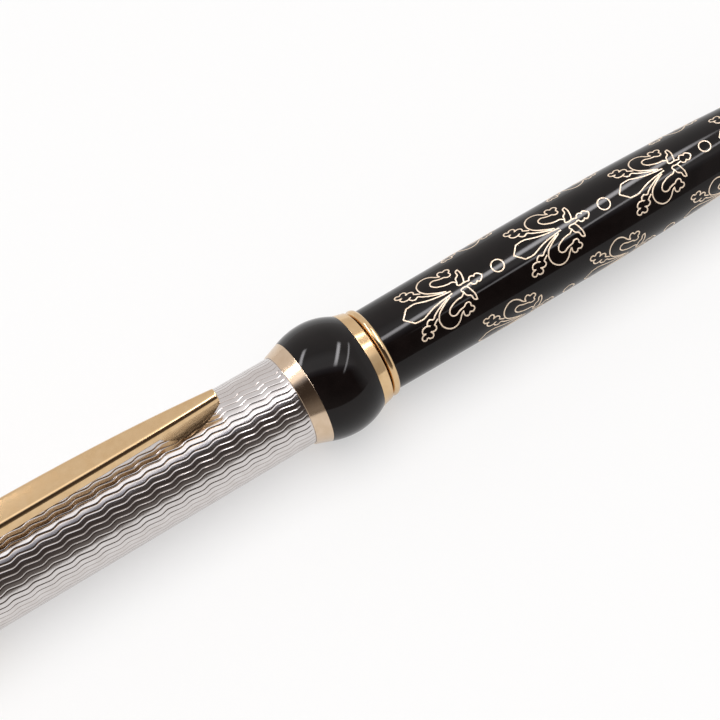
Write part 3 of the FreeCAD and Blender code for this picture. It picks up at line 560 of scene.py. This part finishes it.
def gold_lines():
    """The flower and its dot, flat, as round wires about the plane of (along, across)."""
    curve = bpy.data.curves.new("flower", "CURVE")
    curve.dimensions = "3D"
    curve.resolution_u = 5
    curve.bevel_depth = LINE_RADIUS
    curve.bevel_resolution = 1
    for side in (1, -1):
        for points in FLOWER_HALF:
            spline = curve.splines.new("BEZIER")
            spline.bezier_points.add(len(points) - 1)
            for bezier, (along, across, *sharp) in zip(spline.bezier_points, points):
                bezier.co = (along, side * across, 0)
                kind = "VECTOR" if sharp else "AUTO"
                bezier.handle_left_type = bezier.handle_right_type = kind
    dot = curve.splines.new("BEZIER")
    dot.bezier_points.add(3)
    for number, bezier in enumerate(dot.bezier_points):
        angle = math.tau * number / 4
        bezier.co = (DOT_PLACE + DOT_RADIUS * math.cos(angle), DOT_RADIUS * math.sin(angle), 0)
        bezier.handle_left_type = bezier.handle_right_type = "AUTO"
    dot.use_cyclic_u = True
    wires = bpy.data.objects.new("flower", curve)
    flat = bpy.data.meshes.new_from_object(wires)
    bpy.data.objects.remove(wires)
    return flat


def lay_on_barrel(verts, first, turn):
    """Bend flat wires down on the barrel, pressed nearly flat and just proud of it."""
    for vert in verts:
        along = first + vert.co.x
        angle = turn + vert.co.y / SWELL_RADIUS
        radius = barrel_radius(along) + LINE_FLATNESS * vert.co.z + LINE_LIFT
        vert.co = (along, -radius * math.sin(angle), radius * math.cos(angle))


def make_inlay():
    """Rows of flowers along the barrel, every other row shifted by half a pitch."""
    flat = gold_lines()
    mesh = bmesh.new()
    for row in range(FLOWER_ROWS):
        first = FLOWER_FIRST + (FLOWER_PITCH / 2 if row % 2 else 0)
        while first + FLOWER_LENGTH < TAIL[0] - 1:
            before = len(mesh.verts)
            mesh.from_mesh(flat)
            mesh.verts.ensure_lookup_table()
            turn = ROW_TURN + row * math.tau / FLOWER_ROWS
            lay_on_barrel(mesh.verts[before:], first, turn)
            first += FLOWER_PITCH
    pen_piece("barrel_inlay", mesh, "barrel", INLAY)


# ---------------------------------------------------------------- grip section and refill


def make_section():
    grip = Outline(-40.98, 3.67).to(-40.98, 4.42)
    grip.arc(-31.98, 4.22, -0.06, 14).arc(-4.22, 4.55, -0.1, 24).to(-4.22, 3.67).close()
    turned_piece("grip_sleeve", "section_grip", grip, RESIN)
    nose = Outline(-44.0, 1.35, 0.08).to(-44.0, 2.20, 0.12).to(-41.6, 4.44, 0.1)
    nose.to(-41.0, 4.37, 0.04).to(-41.0, 2.43).to(-38.5, 2.43).to(-38.5, 1.35).close()
    turned_piece("nose_cone_ring", "nose_ring", nose, GOLD)
    collar = Outline(-4.2, 3.67).to(-4.2, 4.55, 0.05).to(-2.4, 4.55).arc(-1.6, 4.55, 0.17, 8)
    collar.to(0.2, 4.55, 0.08).to(0.2, 3.67).close()
    turned_piece("snap_sleeve", "snap_collar", collar, GOLD)


def make_tip():
    """The refill's steel writing tip and the ball in it."""
    tip = Outline(-47.25, 0.38, 0.02).to(-47.25, 0.55, 0.05).to(-44.45, 1.20, 0.15).to(-34.3, 1.20)
    tip.to(-34.3, 0).to(-46.77, 0).to(-46.77, 0.38).close()
    turned_piece("refill_tip", "tip_cone", tip, TIP, 96)
    ball = bmesh.new()
    bmesh.ops.create_uvsphere(ball, u_segments=32, v_segments=16, radius=0.35)
    bmesh.ops.translate(ball, vec=(-47.15, 0, 0), verts=ball.verts)
    body = BODY_OF_NODE["tip_ball"]
    pen_piece("writing_ball", ball, body, CARBIDE, ("tip_ball",))


# nodes that are shown with their own meshes, and their finishes
CARRIED_NODES = {
    "cap_liner": LINER, "inner_cap": LINER, "cap_insert": BRASS, "cap_stud": STEEL,
    "clip_collar": GOLD, "clip_pin": STEEL, "clip_spring": SPRING, "snap_ring": SPRING,
    "thread_bush": BRASS, "spring_seat": NYLON, "refill_spring": SPRING, "tail_insert": BRASS,
    "tail_stud": STEEL, "section_core": BRASS, "section_o_ring": RUBBER, "refill_tube": SHELL,
    "refill_nose": NOSE, "ink_reservoir": INK, "refill_plug": PLUG,
}


def dress_carried_nodes():
    for name, material in CARRIED_NODES.items():
        data = frame["nodes"][name].data
        data.materials.clear()
        data.materials.append(material)


# ---------------------------------------------------------------- table, light and camera


def seen_share(tree):
    """1 where the camera, a shiny surface or glass sees it, and 0 where it only gives light."""
    path = tree.nodes.new("ShaderNodeLightPath")
    seen = path.outputs["Is Camera Ray"]
    for name in ("Is Glossy Ray", "Is Transmission Ray"):
        either = tree.nodes.new("ShaderNodeMath")
        either.operation = "MAXIMUM"
        tree.links.new(seen, either.inputs[0])
        tree.links.new(path.outputs[name], either.inputs[1])
        seen = either.outputs[0]
    return seen


def see_through_to(finish, glow, light_share):
    """Mix a plain glow with the lit surface, for the camera and for shiny surfaces."""
    seen = seen_share(finish.material.node_tree)
    share = finish.between(seen, 0, 1 - light_share, (0, 1))
    shine = finish.node("ShaderNodeEmission")
    shine.inputs["Color"].default_value = (*glow, 1)
    blend = finish.node("ShaderNodeMixShader")
    finish.links.new(share, blend.inputs["Fac"])
    finish.links.new(finish.shader.outputs["BSDF"], blend.inputs[1])
    finish.links.new(shine.outputs["Emission"], blend.inputs[2])
    output = finish.nodes["Material Output"]
    finish.links.new(blend.outputs["Shader"], output.inputs["Surface"])


def stage_piece(name, mesh, material):
    """Something round the pen that isn't part of it."""
    data = bpy.data.meshes.new(name)
    mesh.to_mesh(data)
    mesh.free()
    data.materials.append(material)
    piece = bpy.data.objects.new(name, data)
    bpy.context.scene.collection.objects.link(piece)
    return piece


def only_in_reflections(piece):
    piece.visible_camera = piece.visible_diffuse = piece.visible_shadow = False
    piece.visible_transmission = False


def make_floor():
    mesh = bmesh.new()
    bmesh.ops.create_grid(mesh, x_segments=1, y_segments=1, size=2.5)
    finish = Finish("white_table", (0.96, 0.955, 0.95), 0.6)
    finish.shader.inputs["Specular IOR Level"].default_value = 0.1
    see_through_to(finish, (0.99, 0.985, 0.985), 0.5)
    stage_piece("table_top", mesh, finish.material)


TENT_RADIUS = 0.9
TENT_ENDS = (-1.4, 1.4)
TENT_GLOW = 1.5
TENT_SKEW = math.radians(28)
TENT_OPENS = (0.45, 0.95)
ROOM_SHADE = (0.60, 0.59, 0.585)
# shades of the tent's cloth from its far side (-90) over the top (0) to its near side
TENT_SHADES = (
    (-90, (0.56, 0.54, 0.53)), (-20, (0.58, 0.57, 0.57)), (-5, (0.97, 0.96, 0.97)),
    (12, (0.97, 0.96, 0.97)), (18, (0.34, 0.34, 0.38)), (23, (0.16, 0.165, 0.19)),
    (28, (0.035, 0.028, 0.025)), (54, (0.035, 0.028, 0.025)), (68, (0.065, 0.055, 0.05)),
    (90, (0.16, 0.145, 0.135)),
)


def make_tent():
    """A cloth tent over the pen, seen only in its shiny surfaces: white behind, dark in front."""
    mesh = bmesh.new()
    low, high = (mesh.verts.new((end, TENT_RADIUS, 0)) for end in TENT_ENDS)
    edge = mesh.edges.new((low, high))
    bmesh.ops.spin(mesh, geom=[low, high, edge], cent=(0, 0, 0), axis=(1, 0, 0),
                   angle=math.pi, steps=48)
    finish = Finish("tent_cloth", (0, 0, 0), 1.0)

    def worked(operation, one, other):
        step = finish.node("ShaderNodeMath", operation=operation)
        for socket, content in zip(step.inputs, (one, other)):
            if isinstance(content, float):
                socket.default_value = content
            else:
                finish.links.new(content, socket)
        return step.outputs[0]

    place = finish.node("ShaderNodeTexCoord")
    split = finish.node("ShaderNodeSeparateXYZ")
    finish.links.new(place.outputs["Object"], split.inputs["Vector"])
    along = split.outputs["X"]
    angle = worked("ARCTAN2", worked("MULTIPLY", split.outputs["Y"], -1.0), split.outputs["Z"])
    skewed = worked("SUBTRACT", angle, worked("MULTIPLY", along, TENT_SKEW))
    ramp = finish.node("ShaderNodeValToRGB")
    stops = ramp.color_ramp.elements
    while len(stops) < len(TENT_SHADES):
        stops.new(1.0)
    for stop, (degrees, shade) in zip(stops, TENT_SHADES):
        stop.position = (degrees + 90) / 180
        stop.color = (*shade, 1)
    finish.links.new(finish.between(skewed, 0, 1, (-math.pi / 2, math.pi / 2)), ramp.inputs["Fac"])
    opening = finish.between(along, 0, 1, TENT_OPENS)
    shine = finish.node("ShaderNodeEmission")
    shine.inputs["Strength"].default_value = TENT_GLOW
    finish.links.new(finish.mix(opening, ramp.outputs["Color"], ROOM_SHADE), shine.inputs["Color"])
    finish.links.new(shine.outputs["Emission"], finish.nodes["Material Output"].inputs["Surface"])
    only_in_reflections(stage_piece("tent_cloth", mesh, finish.material))


STRIP_HEIGHT = 0.6


def strip_lamp(name, begin, end, width, brightness):
    """A long narrow lamp overhead that fades to its edges, seen only in shiny surfaces."""
    begin, end = Vector((*begin, STRIP_HEIGHT)), Vector((*end, STRIP_HEIGHT))
    run = (end - begin) / 2
    across = run.cross(Vector((0, 0, 1))).normalized() * width / 2
    mesh = bmesh.new()
    bmesh.ops.create_grid(mesh, x_segments=8, y_segments=12, size=1)
    glow = mesh.verts.layers.float.new("glow")
    for vert in mesh.verts:
        side, length = vert.co.x, vert.co.y
        vert[glow] = (1 - side**2) * (1 - length**4)
        vert.co = (begin + end) / 2 + across * side + run * length
    finish = Finish(name, (0, 0, 0), 1.0)
    shine = finish.node("ShaderNodeEmission")
    shine.inputs["Color"].default_value = (1.0, 0.97, 1.0, 1)
    fading = finish.node("ShaderNodeAttribute", attribute_name="glow").outputs["Fac"]
    finish.links.new(finish.between(fading, 0, brightness, (0, 1)), shine.inputs["Strength"])
    output = finish.nodes["Material Output"]
    see_past = finish.node("ShaderNodeAddShader")
    finish.links.new(shine.outputs["Emission"], see_past.inputs[0])
    finish.links.new(finish.node("ShaderNodeBsdfTransparent").outputs["BSDF"], see_past.inputs[1])
    finish.links.new(see_past.outputs["Shader"], output.inputs["Surface"])
    only_in_reflections(stage_piece(name, mesh, finish.material))


# the room's level as light, where 1 is what the camera sees
ROOM_LIGHT = 0.42
OVERHEAD_SIZE = 1.5
OVERHEAD_WATTS = 13
OVERHEAD_HEIGHT = 1.2


def make_light():
    """An even room, a soft lamp overhead, and what only the shiny surfaces see."""
    world = bpy.data.worlds.new("white_room")
    bpy.context.scene.world = world
    world.use_nodes = True
    tree = world.node_tree
    background = tree.nodes["Background"]
    background.inputs["Color"].default_value = (1, 0.99, 0.985, 1)
    level = tree.nodes.new("ShaderNodeMapRange")
    level.inputs["To Min"].default_value = ROOM_LIGHT
    level.inputs["To Max"].default_value = 1.0
    tree.links.new(seen_share(tree), level.inputs["Value"])
    tree.links.new(level.outputs["Result"], background.inputs["Strength"])
    data = bpy.data.lights.new("overhead_lamp", "AREA")
    data.shape = "SQUARE"
    data.size = OVERHEAD_SIZE
    data.energy = OVERHEAD_WATTS
    overhead = bpy.data.objects.new("overhead_lamp", data)
    overhead.matrix_world = Matrix.Translation((0, 0, OVERHEAD_HEIGHT))
    overhead.visible_glossy = False
    bpy.context.scene.collection.objects.link(overhead)
    make_tent()
    strip_lamp("right_strip", (0.09, -0.22), (0.49, 0.29), 0.085, 19)
    strip_lamp("left_strip", (-0.465, 0.10), (-0.10, 0.537), 0.10, 17)
    strip_lamp("far_right_strip", (0.20, -0.48), (0.80, 0.276), 0.06, 11)


SIGHT = (0.235, 0.522, -0.820)
TILT = math.radians(30.3)
CAMERA_DISTANCE = 0.1717
# the point on the pen's axis that it looks at, from the lip plane
AIM = -0.00091


def make_camera():
    """A camera that looks down on the pen, tilted so that the pen rises to the right."""
    sight = Vector(SIGHT).normalized()
    level = (Vector((1, 0, 0)) - sight.x * sight).normalized()
    upright = (-sight).cross(level)
    right = math.cos(TILT) * level - math.sin(TILT) * upright
    above = math.sin(TILT) * level + math.cos(TILT) * upright
    place = Vector((LIP_PLANE + AIM, 0, AXIS_HEIGHT)) - CAMERA_DISTANCE * sight
    data = bpy.data.cameras.new("camera")
    data.lens = 71.1
    data.sensor_width = 36
    data.clip_start = 0.005
    camera = bpy.data.objects.new("camera", data)
    turn = Matrix((right, above, -sight)).transposed().to_4x4()
    camera.matrix_world = Matrix.Translation(place) @ turn
    bpy.context.scene.collection.objects.link(camera)
    bpy.context.scene.camera = camera


make_cap_tube()
make_cap_rings()
make_bulb()
make_cap_end()
make_clip_piece()
make_barrel()
make_inlay()
make_section()
make_tip()
dress_carried_nodes()
make_floor()
make_light()
make_camera()
bpy.context.scene.view_settings.view_transform = "Standard"
